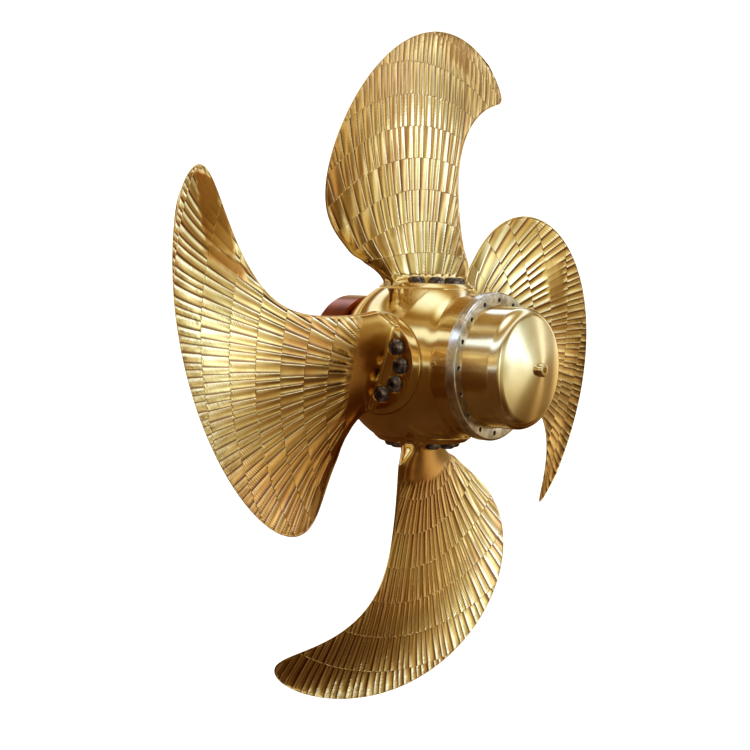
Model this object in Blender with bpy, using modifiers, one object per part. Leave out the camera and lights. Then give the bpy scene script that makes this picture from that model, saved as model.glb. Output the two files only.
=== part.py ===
"""Controllable-pitch ship propeller, left-handed, with four bolted-on blades.

Metres, +Z up, +Y forward along the shaft, +X to starboard. The origin is the centre of the flat
face that the shaft's flange is bolted to, and the cap points aft, along -Y. The blades cross the
shaft's axis in the spindle plane, and stations along the shaft are counted forward from there.
"""

import math

import bmesh
import bpy
from mathutils import Matrix, Vector

TIP_RADIUS = 1.25
CLEARANCE = 0.0003

# The hub: a ball with a flat for each blade, a barrel behind it and a cone to the neck before it.
PORT_FLAT = 0.262
PORT_LAND = 0.005
BALL_END_LAND = 0.001
STEP_SLOPE = math.radians(60)
NECK_RADIUS = 0.219
NECK_LENGTH = 0.066
BARREL_RADIUS = 0.252
BARREL_LENGTH = 0.090
HUB_SIDES = 48
BALL_STEPS = 8

# The port below each blade, and the crank disc that turns in it.
PORT_RADIUS = 0.152
PORT_DEPTH = 0.072
PORT_GAP = 0.002
DISC_SIDES = 36

# The flange that joins the hub to the shaft.
FLANGE_RADIUS = 0.232
FLANGE_THICKNESS = 0.116
FLANGE_CHAMFER = 0.008
FLANGE_HOLES = 8
FLANGE_HOLE_RADIUS = 0.018
FLANGE_HOLE_DEPTH = 0.060
FLANGE_HOLE_CIRCLE = 0.190

# The zinc ring, the cap inside it and the plug at the cap's tip.
RING_OUTER = 0.260
RING_THICKNESS = 0.038
RING_ROUNDING = 0.009
RING_TO_CAP = 0.003
CAP_RADIUS = 0.212
CAP_CYLINDER = 0.151
CAP_SHOULDER = 0.026
CAP_CONE = math.radians(13)
CAP_TIP_RADIUS = 0.030
PLUG_HEAD_RADIUS = 0.024
PLUG_HEAD_HEIGHT = 0.020
PLUG_STEM_RADIUS = 0.012
PLUG_STEM_LENGTH = 0.030
PLUG_SIDES = 16

# The palm, the disc at a blade's foot.
PALM_RADIUS = 0.176
PALM_THICKNESS = 0.0217
PALM_EDGE = 0.006
PALM_CHAMFER = 0.018
PALM_SIDES = 36

# The blade, read at even steps from the palm's face to the tip: chord, distance of the chord's
# middle ahead of the spindle, pitch angle and rake.
CHORDS = (0.471, 0.525, 0.697, 0.849, 0.874, 0.519)
SKEWS = (0.001, 0.086, 0.178, 0.189, -0.013, -0.527)
PITCHES = (math.radians(19.7), math.radians(8.0), math.radians(-2.3), math.radians(-9.8))
RAKES = (0.0, 0.0145, 0.014, 0.024)
TIP_BLUNTNESS = 30
ROOT_THICKNESS = 0.086
TIP_THICKNESS = 0.010
THICKNESS_FALL = 1.25
CAMBER = 0.018
CAMBER_HEIGHT = 0.190
WRAP_FULL_RADIUS = 0.520
WRAP_LEAST = 0.02
FILLET = 0.034
HEEL_HEIGHT = 0.042
HEEL_RADIUS = 0.156
FILLET_STEPS = 3
BLADE_STEPS = 15
SECTION_POINTS = 18
TIP_STEP = 0.010

# The blade bolts, four on each side of the blade's root.
BOLT_CIRCLE = 0.108
BOLT_ANGLES = tuple(math.radians(a) for a in (-54, -18, 18, 54, 126, 162, 198, 234))
BOLT_SHANK_RADIUS = 0.0195
BOLT_HEAD_RADIUS = 0.029
BOLT_HEAD_HEIGHT = 0.039
BOLT_HEAD_CHAMFER = 0.004
BOLT_SPOT_DEPTH = 0.008
BOLT_REACH = 0.050
BOLT_HOLE_GAP = 0.001
BOLT_SPOT_GAP = 0.002
BOLT_POCKET_HEIGHT = 0.075
BOLT_SIDES = 12

# What follows from those sizes.
BALL_START = PALM_RADIUS + PORT_LAND
BALL_RADIUS = math.hypot(PORT_FLAT, BALL_START)
BALL_END = -PALM_RADIUS - BALL_END_LAND
STEP_LENGTH = (math.sqrt(BALL_RADIUS ** 2 - BALL_END ** 2) - BARREL_RADIUS) / math.tan(STEP_SLOPE)
NECK_END = BALL_START + NECK_LENGTH
BARREL_END = BALL_END - STEP_LENGTH - BARREL_LENGTH
FLANGE_FACE = NECK_END + CLEARANCE + FLANGE_THICKNESS
SPINDLE_CROSSING = Vector((0, -FLANGE_FACE, 0))
PALM_FACE = PORT_FLAT + CLEARANCE + PALM_THICKNESS
BOLT_SEAT = PALM_FACE - BOLT_SPOT_DEPTH
BLADE_SPAN = TIP_RADIUS - PALM_FACE
BLADE_NAMES = ("top", "port", "bottom", "starboard")


def clear_scene():
    """Remove whatever the scene holds."""
    for item in list(bpy.data.objects):
        bpy.data.objects.remove(item, do_unlink=True)


def new_collection(name):
    """Make a collection in the scene."""
    group = bpy.data.collections.new(name)
    bpy.context.scene.collection.children.link(group)
    return group


def new_material(name, colour, metallic, roughness):
    """Make a plain Principled material."""
    material = bpy.data.materials.new(name)
    material.use_nodes = True
    shader = material.node_tree.nodes["Principled BSDF"]
    shader.inputs["Base Color"].default_value = (*colour, 1)
    shader.inputs["Metallic"].default_value = metallic
    shader.inputs["Roughness"].default_value = roughness
    return material


def place(name, mesh, group, parent, material=None):
    """Put a mesh into the scene under the name of its piece."""
    item = bpy.data.objects.new(name, mesh)
    group.objects.link(item)
    item.parent = parent
    if material and not mesh.materials:
        mesh.materials.append(material)
    return item


def as_cutter(item):
    """Keep a cutting shape out of the model."""
    item.hide_render = True
    item.display_type = "WIRE"
    return item


def shade(mesh):
    """Shade round stretches smooth and keep the corners sharp."""
    mesh.shade_smooth()
    mesh.set_sharp_from_angle(angle=math.radians(30))


def turned_mesh(name, profile, sides):
    """Turn a profile of (radius, height) pairs, listed from the top down, about +Z."""
    outline = bpy.data.meshes.new(name + "_profile")
    edges = [(i, i + 1) for i in range(len(profile) - 1)]
    outline.from_pydata([(radius, 0, height) for radius, height in profile], edges, [])
    item = bpy.data.objects.new(name + "_profile", outline)
    bpy.context.scene.collection.objects.link(item)
    screw = item.modifiers.new("turn", "SCREW")
    screw.steps = sides
    screw.render_steps = sides
    screw.use_merge_vertices = True
    screw.merge_threshold = 0.0001
    mesh = evaluated_mesh(item)
    mesh.name = name
    bpy.data.objects.remove(item, do_unlink=True)
    return mesh


def evaluated_mesh(item):
    """A plain mesh of an object with its modifiers applied."""
    bpy.context.view_layer.update()
    graph = bpy.context.evaluated_depsgraph_get()
    return bpy.data.meshes.new_from_object(item.evaluated_get(graph))


def cylinders_mesh(name, places, radius, low, high, sides):
    """Upright cylinders between two heights, at places (x, y, turn)."""
    shape = bmesh.new()
    for x, y, turn in places:
        matrix = Matrix.Translation((x, y, (low + high) / 2)) @ Matrix.Rotation(turn, 4, "Z")
        bmesh.ops.create_cone(shape, cap_ends=True, segments=sides, radius1=radius, radius2=radius,
                              depth=high - low, matrix=matrix)
    mesh = bpy.data.meshes.new(name)
    shape.to_mesh(mesh)
    shape.free()
    return mesh


def cut(item, tool, operation="DIFFERENCE"):
    """Add a Boolean modifier."""
    modifier = item.modifiers.new(tool.name, "BOOLEAN")
    modifier.operation = operation
    modifier.solver = "EXACT"
    modifier.object = tool


def arc(centre, radius, start, end, steps):
    """Points of an arc in a profile, from the start angle to the end angle."""
    points = []
    for step in range(steps + 1):
        angle = start + (end - start) * step / steps
        points.append((centre[0] + radius * math.cos(angle), centre[1] + radius * math.sin(angle)))
    return points


def blade_turns():
    """The turn about the shaft of each blade, starting with the one that points up."""
    return [-index * math.tau / len(BLADE_NAMES) for index in range(len(BLADE_NAMES))]


def shaft_empty(group):
    """An empty on the spindle crossing, with its own +Z forward along the shaft."""
    item = place("shaft_axis", None, group, None)
    item.location = SPINDLE_CROSSING
    item.rotation_euler = (-math.pi / 2, 0, 0)
    return item


def spindle_empty(group, name, turn):
    """An empty on the spindle crossing, with its own +Z out along a blade's spindle."""
    item = place(name + "_spindle", None, group, None)
    item.location = SPINDLE_CROSSING
    item.rotation_euler = (0, turn, 0)
    return item


def hub_body(parts, cutters, shaft, spindles, material):
    """The turned hub, flattened below each blade and bored for each crank disc."""
    profile = [(0, NECK_END), (NECK_RADIUS, NECK_END)]
    profile += arc((0, 0), BALL_RADIUS, math.asin(BALL_START / BALL_RADIUS),
                   math.asin(BALL_END / BALL_RADIUS), BALL_STEPS)
    profile.append((BARREL_RADIUS, BALL_END - STEP_LENGTH))
    profile += [(BARREL_RADIUS, BARREL_END), (0, BARREL_END)]
    body = place("hub_body", turned_mesh("hub_body", profile, HUB_SIDES), parts, shaft, material)

    length = 2 * max(NECK_END, -BARREL_END) + BARREL_LENGTH
    shape = bmesh.new()
    bmesh.ops.create_cube(shape, size=1, matrix=Matrix.Diagonal((2 * PORT_FLAT, 2 * PORT_FLAT, length, 1)))
    prism = bpy.data.meshes.new("flats")
    shape.to_mesh(prism)
    shape.free()
    cut(body, as_cutter(place("flats", prism, cutters, shaft)), "INTERSECT")

    bore = cylinders_mesh("port", [(0, 0, 0)], PORT_RADIUS, PORT_FLAT - PORT_DEPTH,
                          PORT_FLAT + PORT_DEPTH, DISC_SIDES)
    for name, spindle in spindles.items():
        cut(body, as_cutter(place("port_" + name, bore, cutters, spindle)))
    body.data.shade_smooth()
    return body


def shaft_flange(parts, cutters, shaft, material):
    """The forward flange, with threaded holes for the shaft's bolts round a solid centre."""
    back = NECK_END + CLEARANCE
    rim = FLANGE_RADIUS - FLANGE_CHAMFER
    profile = [(0, FLANGE_FACE), (rim, FLANGE_FACE), (FLANGE_RADIUS, FLANGE_FACE - FLANGE_CHAMFER)]
    profile += [(FLANGE_RADIUS, back + FLANGE_CHAMFER), (rim, back), (0, back)]
    mesh = turned_mesh("shaft_flange", profile, HUB_SIDES)
    flange = place("shaft_flange", mesh, parts, shaft, material)
    step = math.tau / FLANGE_HOLES
    places = []
    for index in range(FLANGE_HOLES):
        angle = (index + 0.5) * step
        places.append((FLANGE_HOLE_CIRCLE * math.cos(angle), FLANGE_HOLE_CIRCLE * math.sin(angle), angle))
    holes = cylinders_mesh("flange_holes", places, FLANGE_HOLE_RADIUS, FLANGE_FACE - FLANGE_HOLE_DEPTH,
                           FLANGE_FACE + FLANGE_HOLE_DEPTH, BOLT_SIDES)
    cut(flange, as_cutter(place("flange_holes", holes, cutters, shaft)))
    flange.data.shade_smooth()


def anode_ring(parts, shaft, material):
    """The zinc ring on the hub's aft face, round the cap."""
    front = BARREL_END - CLEARANCE
    back = front - RING_THICKNESS
    inner = CAP_RADIUS + RING_TO_CAP
    outer = RING_OUTER - RING_ROUNDING
    profile = [(inner, front), (RING_OUTER, front)]
    profile += arc((outer, back + RING_ROUNDING), RING_ROUNDING, 0, -math.pi / 2, 3)
    profile += [(inner, back), (inner, front)]
    mesh = turned_mesh("anode_ring", profile, HUB_SIDES)
    shade(mesh)
    place("anode_ring", mesh, parts, shaft, material)


def cap_tip():
    """Station of the cap's flat tip."""
    rise = math.tan(CAP_CONE)
    edge = CAP_RADIUS - CAP_SHOULDER * (1 - math.sin(CAP_CONE))
    shoulder = BARREL_END - CLEARANCE - CAP_CYLINDER - CAP_SHOULDER * math.cos(CAP_CONE)
    return shoulder - (edge - CAP_TIP_RADIUS) * rise


def hub_cap(parts, shaft, material):
    """The cap: a cylinder, a rounded shoulder and a shallow cone with a hole for the plug."""
    base = BARREL_END - CLEARANCE
    tip = cap_tip()
    hole = PLUG_STEM_RADIUS + CLEARANCE
    profile = [(0, base), (CAP_RADIUS, base)]
    profile += arc((CAP_RADIUS - CAP_SHOULDER, base - CAP_CYLINDER), CAP_SHOULDER, 0,
                   -(math.pi / 2 - CAP_CONE), 4)
    profile += [(CAP_TIP_RADIUS, tip), (hole, tip)]
    profile += [(hole, tip + PLUG_STEM_LENGTH + CLEARANCE), (0, tip + PLUG_STEM_LENGTH + CLEARANCE)]
    mesh = turned_mesh("hub_cap", profile, HUB_SIDES)
    shade(mesh)
    place("hub_cap", mesh, parts, shaft, material)


def cap_plug(parts, shaft, material):
    """The round-headed plug in the cap's tip."""
    seat = cap_tip() - CLEARANCE
    crown = seat - PLUG_HEAD_HEIGHT
    top = seat + PLUG_STEM_LENGTH
    profile = [(0, top), (PLUG_STEM_RADIUS, top), (PLUG_STEM_RADIUS, seat), (PLUG_HEAD_RADIUS, seat)]
    profile += [(PLUG_HEAD_RADIUS, (seat + crown) / 2), (PLUG_HEAD_RADIUS / 2, crown), (0, crown)]
    mesh = turned_mesh("cap_plug", profile, PLUG_SIDES)
    shade(mesh)
    place("cap_plug", mesh, parts, shaft, material)


def through(values, t):
    """The smooth curve through evenly spaced values, read at t from 0 to 1."""
    last = len(values) - 1
    total = 0
    for i, value in enumerate(values):
        for j in range(len(values)):
            if j != i:
                value *= (t * last - j) / (i - j)
        total += value
    return total


def blade_steps():
    """Places from just inside the palm to the tip, close together at both ends."""
    heights = [-PALM_THICKNESS / 2]
    heights += [FILLET * (step / FILLET_STEPS) ** 2 for step in range(FILLET_STEPS)]
    first = FILLET / BLADE_SPAN
    for step in range(BLADE_STEPS):
        left = 1 - step / (BLADE_STEPS - 1)
        share = (1 - left ** 2) * (1 - TIP_STEP ** 2)
        heights.append(BLADE_SPAN * (first + (1 - first) * share))
    return [height / BLADE_SPAN for height in heights]


def blade_edges(t):
    """The leading and trailing edge, along the chord from the spindle."""
    chord = through(CHORDS, t) * math.sqrt(max(0, 1 - max(0, t) ** TIP_BLUNTNESS))
    middle = through(SKEWS, t)
    heel = min(1, max(0, t * BLADE_SPAN / HEEL_HEIGHT))
    leading = HEEL_RADIUS + (middle + chord / 2 - HEEL_RADIUS) * heel
    trailing = -HEEL_RADIUS + (middle - chord / 2 + HEEL_RADIUS) * heel
    return leading, trailing


def fillet_width(t):
    """How far the fillet above the palm thickens the blade on each side."""
    rest = max(0, FILLET - max(0, t) * BLADE_SPAN)
    return FILLET - math.sqrt(FILLET ** 2 - rest ** 2)


def on_blade(t, along, across):
    """A point of the blade, from its place along the chord and across it.

    Sections lie flat above the palm and wrap round the shaft further out.
    """
    radius = PALM_FACE + t * BLADE_SPAN
    pitch = through(PITCHES, t)
    tangent = along * math.cos(pitch) - across * math.sin(pitch)
    axial = through(RAKES, t) + along * math.sin(pitch) + across * math.cos(pitch)
    u = min(1, max(0, (radius - PALM_FACE) / (WRAP_FULL_RADIUS - PALM_FACE)))
    wrap = max(WRAP_LEAST, u * u * (3 - 2 * u))
    bend = radius / wrap
    turn = tangent / bend
    return Vector((-bend * math.sin(turn), axial, radius - bend * (1 - math.cos(turn))))


def blade_section(t):
    """The closed outline of the blade's section at t."""
    leading, trailing = blade_edges(t)
    half = (leading - trailing) / 2
    middle = (leading + trailing) / 2
    thickness = TIP_THICKNESS + ROOT_THICKNESS * (1 - max(0, t)) ** THICKNESS_FALL
    height = thickness / 2 + fillet_width(t)
    bulge = 2 * CAMBER * min(1, max(0, t) * BLADE_SPAN / CAMBER_HEIGHT)
    points = []
    for step in range(SECTION_POINTS):
        angle = math.tau * step / SECTION_POINTS
        along = half * math.cos(angle)
        camber = bulge * half * math.sin(angle) ** 2
        points.append(on_blade(t, middle + along, camber + height * math.sin(angle)))
    return points


def loft_mesh(name, sections):
    """A closed skin over sections with the same number of points."""
    shape = bmesh.new()
    rings = [[shape.verts.new(point) for point in section] for section in sections]
    count = len(rings[0])
    for low, high in zip(rings, rings[1:]):
        for i in range(count):
            j = (i + 1) % count
            shape.faces.new((low[i], low[j], high[j], high[i]))
    shape.faces.new(rings[0])
    shape.faces.new(rings[-1])
    bmesh.ops.triangulate(shape, faces=shape.faces[:])
    bmesh.ops.recalc_face_normals(shape, faces=shape.faces[:])
    mesh = bpy.data.meshes.new(name)
    shape.to_mesh(mesh)
    shape.free()
    return mesh


def bolt_places():
    """Where a blade's bolts stand, turned with the pitch of the blade's root."""
    places = []
    for angle in BOLT_ANGLES:
        turn = angle - PITCHES[0] - math.pi / 2
        places.append((BOLT_CIRCLE * math.cos(turn), BOLT_CIRCLE * math.sin(turn), turn))
    return places


def blade_mesh(parts, cutters):
    """A blade and its palm, with a hole and a spot-faced pocket for each bolt."""
    base = PORT_FLAT + CLEARANCE
    face_radius = PALM_RADIUS - PALM_CHAMFER
    profile = [(0, PALM_FACE), (face_radius, PALM_FACE), (PALM_RADIUS, base + PALM_EDGE)]
    profile += [(PALM_RADIUS, base), (0, base)]
    palm = place("palm_shape", turned_mesh("blade", profile, PALM_SIDES), parts, None)
    sections = [blade_section(t) for t in blade_steps()]
    wing = as_cutter(place("wing_shape", loft_mesh("wing", sections), cutters, None))
    cut(palm, wing, "UNION")
    pockets = cylinders_mesh("pockets", bolt_places(), BOLT_HEAD_RADIUS + BOLT_SPOT_GAP, BOLT_SEAT,
                             BOLT_SEAT + BOLT_POCKET_HEIGHT, BOLT_SIDES)
    cut(palm, as_cutter(place("pockets", pockets, cutters, None)))
    holes = cylinders_mesh("holes", bolt_places(), BOLT_SHANK_RADIUS + BOLT_HOLE_GAP,
                           base - BOLT_REACH, BOLT_SEAT + BOLT_SPOT_DEPTH, BOLT_SIDES)
    cut(palm, as_cutter(place("holes", holes, cutters, None)))
    mesh = evaluated_mesh(palm)
    mesh.name = "blade"
    bpy.data.objects.remove(palm, do_unlink=True)
    shade(mesh)
    return mesh


def disc_mesh(parts, cutters):
    """A crank disc, which carries a blade and is hidden below its palm."""
    low = PORT_FLAT - PORT_DEPTH + CLEARANCE
    disc = cylinders_mesh("disc", [(0, 0, 0)], PORT_RADIUS - PORT_GAP, low, PORT_FLAT, DISC_SIDES)
    item = place("disc_shape", disc, parts, None)
    depth = BOLT_SEAT - BOLT_SPOT_DEPTH - BOLT_REACH
    holes = cylinders_mesh("disc_holes", bolt_places(), BOLT_SHANK_RADIUS + BOLT_HOLE_GAP,
                           depth, PORT_FLAT + BOLT_REACH, BOLT_SIDES)
    cut(item, as_cutter(place("disc_holes", holes, cutters, None)))
    mesh = evaluated_mesh(item)
    mesh.name = "crank_disc"
    bpy.data.objects.remove(item, do_unlink=True)
    return mesh


def bolt_mesh():
    """A round-headed blade bolt, standing on its seat at height 0."""
    seat = CLEARANCE
    top = seat + BOLT_HEAD_HEIGHT
    profile = [(0, top), (BOLT_HEAD_RADIUS - BOLT_HEAD_CHAMFER, top)]
    profile += [(BOLT_HEAD_RADIUS, top - BOLT_HEAD_CHAMFER), (BOLT_HEAD_RADIUS, seat)]
    profile += [(BOLT_SHANK_RADIUS, seat), (BOLT_SHANK_RADIUS, -BOLT_REACH), (0, -BOLT_REACH)]
    mesh = turned_mesh("blade_bolt", profile, BOLT_SIDES)
    shade(mesh)
    return mesh


def blade_group(parts, name, spindle, meshes, bronze, steel):
    """One blade with its crank disc and bolts, all on its own spindle."""
    blade, disc, bolt = meshes
    place("blade_" + name, blade, parts, spindle, bronze)
    place("crank_disc_" + name, disc, parts, spindle, steel)
    for number, (x, y, turn) in enumerate(bolt_places(), 1):
        item = place(f"blade_bolt_{name}_{number}", bolt, parts, spindle, steel)
        item.location = (x, y, BOLT_SEAT)
        item.rotation_euler = (0, 0, turn)


def main():
    """Build the propeller."""
    clear_scene()
    parts = new_collection("ship_propeller")
    cutters = new_collection("cutters")
    bronze = new_material("bronze", (0.72, 0.50, 0.20), 1, 0.30)
    zinc = new_material("zinc", (0.55, 0.56, 0.58), 1, 0.50)
    steel = new_material("dark_steel", (0.08, 0.07, 0.07), 1, 0.40)

    shaft = shaft_empty(parts)
    spindles = {name: spindle_empty(parts, name, turn) for name, turn in zip(BLADE_NAMES, blade_turns())}
    hub_body(parts, cutters, shaft, spindles, bronze)
    shaft_flange(parts, cutters, shaft, bronze)
    anode_ring(parts, shaft, zinc)
    hub_cap(parts, shaft, bronze)
    cap_plug(parts, shaft, bronze)
    meshes = (blade_mesh(parts, cutters), disc_mesh(parts, cutters), bolt_mesh())
    for name, spindle in spindles.items():
        blade_group(parts, name, spindle, meshes, bronze, steel)


main()
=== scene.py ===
"""Looks of a four-bladed controllable-pitch ship propeller: milled and polished bronze round a zinc ring.

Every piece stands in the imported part's own frame: metres, +Z up, +Y forward along the shaft.
"""

import logging
import math
from contextlib import contextmanager
from dataclasses import dataclass, field
from enum import Enum
from typing import Iterator, Sequence

import bpy
import numpy as np
from mathutils import Matrix, Vector


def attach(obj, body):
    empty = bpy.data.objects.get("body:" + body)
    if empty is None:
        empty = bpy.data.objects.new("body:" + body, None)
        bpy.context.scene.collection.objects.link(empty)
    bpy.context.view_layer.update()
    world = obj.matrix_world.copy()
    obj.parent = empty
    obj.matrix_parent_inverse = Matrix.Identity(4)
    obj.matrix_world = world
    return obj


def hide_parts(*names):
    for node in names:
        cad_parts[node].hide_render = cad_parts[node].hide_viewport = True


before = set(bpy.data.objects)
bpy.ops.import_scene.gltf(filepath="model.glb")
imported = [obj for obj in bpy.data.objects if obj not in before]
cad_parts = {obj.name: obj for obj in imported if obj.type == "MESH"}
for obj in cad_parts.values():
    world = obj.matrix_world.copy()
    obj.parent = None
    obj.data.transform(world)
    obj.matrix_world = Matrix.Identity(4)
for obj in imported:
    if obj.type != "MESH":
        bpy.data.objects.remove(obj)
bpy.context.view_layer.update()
LOG = logging.getLogger("ship_propeller")
Item = bpy.types.Object
Node = bpy.types.Node
Socket = bpy.types.NodeSocket
Grid = np.ndarray
Profile = list[tuple[float, float]]
Stops = Sequence[tuple[float, str]]

FLANGE_FACE = 0.3633        # from the spindles' crossing to the flange's forward face
SPINDLE_CROSSING = Vector((0, -FLANGE_FACE, 0))
AT_HUB = Matrix.Translation(SPINDLE_CROSSING)
QUARTER = math.tau / 4
GAP = 0.0003                # clearance of a piece that seats on another
OVERRUN = 0.01              # how far a cutting tool stands out of the face that it cuts
BORDER_GAP = 0.0006         # from a border between bands of grooves to the mesh's next row
GROOVE_COUNT = "groove_count"
GROOVE_SHARPNESS = "groove_sharpness"
# point attribute: how brown the metal is, from tarnish in patches and from painted shade at the root
TARNISH_AND_ROOT_SHADE = "tarnish_and_root_shade"
WHITE, BLACK = "#ffffff", "#000000"


class BladeName(Enum):
    """The four blades, by where each one points; the value is its turn about the shaft in quarters."""

    TOP = 0
    PORT = 1
    BOTTOM = 2
    STARBOARD = 3

    @property
    def body(self) -> str:
        """The body that the blade rides on."""
        return "blade_" + self.name.lower()

    @property
    def place(self) -> Matrix:
        """From the blade's own frame, +Z out along its spindle, to the propeller's frame."""
        return AT_HUB @ Matrix.Rotation(-self.value * QUARTER, 4, "Y")


def only(*items: Item) -> None:
    """Select these objects and nothing else, the first one active.

    Args:
        items: the objects to select.
    """
    if bpy.context.mode != "OBJECT":
        bpy.ops.object.mode_set(mode="OBJECT")
    bpy.ops.object.select_all(action="DESELECT")
    for item in items:
        item.select_set(True)
    bpy.context.view_layer.objects.active = items[0]


@contextmanager
def editing(item: Item, kind: str) -> Iterator[None]:
    """Hold an object in edit mode, with nothing selected at first.

    Args:
        item: the object to edit.
        kind: what is picked in it: VERT, EDGE or FACE.
    """
    only(item)
    bpy.ops.object.mode_set(mode="EDIT")
    bpy.ops.mesh.select_mode(type=kind)
    bpy.ops.mesh.select_all(action="DESELECT")
    yield
    bpy.ops.object.mode_set(mode="OBJECT")


def face_outwards() -> None:
    """Turn all the normals of the object in edit mode outwards."""
    bpy.ops.mesh.select_all(action="SELECT")
    bpy.ops.mesh.normals_make_consistent(inside=False)


def carve(item: Item, cutter: Item, operation: str = "DIFFERENCE") -> None:
    """Cut one object with another, or join it on, and throw the tool away.

    Args:
        item: the object that stays.
        cutter: the object that is used up.
        operation: DIFFERENCE or UNION.
    """
    only(item)
    modifier = item.modifiers.new("carve", "BOOLEAN")
    modifier.object, modifier.operation, modifier.solver = cutter, operation, "MANIFOLD"
    bpy.ops.object.modifier_apply(modifier=modifier.name)
    bpy.data.objects.remove(cutter, do_unlink=True)


def smooth(item: Item, degrees: float = 32) -> None:
    """Shade an object smooth where its faces meet at less than this angle.

    Args:
        item: the object.
        degrees: the angle.
    """
    only(item)
    bpy.ops.object.shade_smooth_by_angle(angle=math.radians(degrees))


def settle(item: Item, name: str, place: Matrix | None = None) -> Item:
    """Name a finished object and bake its place into its mesh.

    Args:
        item: the finished object.
        name: its piece name.
        place: a further move of the mesh.

    Returns:
        The same object, at the origin.
    """
    item.data.transform((place or Matrix()) @ item.matrix_world)
    item.matrix_world = Matrix()
    item.name = name
    item.data.name = name
    return item


def copy_of(item: Item, name: str, place: Matrix) -> Item:
    """Copy an object with its own mesh, moved to its place.

    Args:
        item: the object to copy.
        name: the copy's piece name.
        place: where the copy's mesh goes.

    Returns:
        The copy.
    """
    twin = item.copy()
    twin.data = item.data.copy()
    bpy.context.scene.collection.objects.link(twin)
    return settle(twin, name, place)


def joined(items: Sequence[Item]) -> Item:
    """Join objects into the first one.

    Args:
        items: the objects, of which the first stays.

    Returns:
        The first object.
    """
    only(*items)
    bpy.ops.object.join()
    return items[0]


def around_shaft(count: int, radius: float, station: float, first: float, facing: int) -> list[Matrix]:
    """Spread places evenly on a circle round the shaft, each with its own +Z along the shaft.

    Args:
        count: how many places there are.
        radius: the circle's radius.
        station: its place along the shaft.
        first: where it starts, as a share of the spacing.
        facing: 1 for a +Z that looks aft, -1 for one that looks forward.

    Returns:
        The places in order.
    """
    tilt = Matrix.Rotation(facing * QUARTER, 4, "X")
    angles = [math.tau * (index + first) / count for index in range(count)]
    return [Matrix.Translation((radius * math.cos(a), station, radius * math.sin(a))) @ tilt for a in angles]


def arc(radius: float, station: float, size: float, start: float, end: float, steps: int) -> Profile:
    """Points of a round corner in a turned profile.

    Args:
        radius: distance of the corner's centre from the axis.
        station: the centre's place along the axis.
        size: the corner's own radius.
        start: first angle in degrees, from straight outwards.
        end: last angle in degrees.
        steps: how many pieces the arc has.

    Returns:
        The points as (radius, station) pairs.
    """
    angles = [math.radians(start + (end - start) * step / steps) for step in range(steps + 1)]
    return [(radius + size * math.cos(a), station + size * math.sin(a)) for a in angles]


def turned(profile: Profile, sides: int, axis: str = "Y") -> Item:
    """Draw a profile by extruding one vertex, and spin it into a turned solid.

    Args:
        profile: (radius, station) pairs; it closes on the axis or on itself.
        sides: pieces of the full turn.
        axis: the axis that it is turned about, Y or Z.

    Returns:
        The new object.
    """
    bpy.ops.object.select_all(action="DESELECT")
    along = Vector((0, 1, 0)) if axis == "Y" else Vector((0, 0, 1))
    points = [Vector((radius, 0, 0)) + along * station for radius, station in profile]
    bpy.ops.mesh.primitive_plane_add(size=0.01, location=points[0])
    item = bpy.context.object
    bpy.ops.object.transform_apply(location=True)
    with editing(item, "VERT"):
        bpy.ops.mesh.select_all(action="SELECT")
        bpy.ops.mesh.merge(type="CENTER")
        for here, there in zip(points, points[1:]):
            bpy.ops.mesh.extrude_vertices_move(TRANSFORM_OT_translate={"value": there - here})
        bpy.ops.mesh.select_all(action="SELECT")
        bpy.ops.mesh.spin(steps=sides, angle=math.tau, center=(0, 0, 0), axis=along)
        bpy.ops.mesh.select_all(action="SELECT")
        bpy.ops.mesh.remove_doubles(threshold=0.00002)
        face_outwards()
    return item


def rod(radius: float, low: float, high: float, sides: int, place: Matrix) -> Item:
    """A plain cylinder along its place's own +Z, used as a cutting tool.

    Args:
        radius: its radius.
        low: its lower end.
        high: its upper end.
        sides: how many flats it has.
        place: where it stands.

    Returns:
        The new object.
    """
    bpy.ops.object.select_all(action="DESELECT")
    bpy.ops.mesh.primitive_cylinder_add(vertices=sides, radius=radius, depth=high - low,
                                        location=(0, 0, (low + high) / 2))
    item = bpy.context.object
    bpy.ops.object.transform_apply(location=True)
    item.data.transform(place)
    return item


def linear(colour: str) -> tuple[float, float, float, float]:
    """An sRGB hex colour as the linear values that shaders take.

    Args:
        colour: the colour, as # and six digits.

    Returns:
        Red, green, blue and a full alpha.
    """
    parts = [int(colour[i:i + 2], 16) / 255 for i in (1, 3, 5)]
    return (*[v / 12.92 if v <= 0.04045 else ((v + 0.055) / 1.055) ** 2.4 for v in parts], 1.0)


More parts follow.
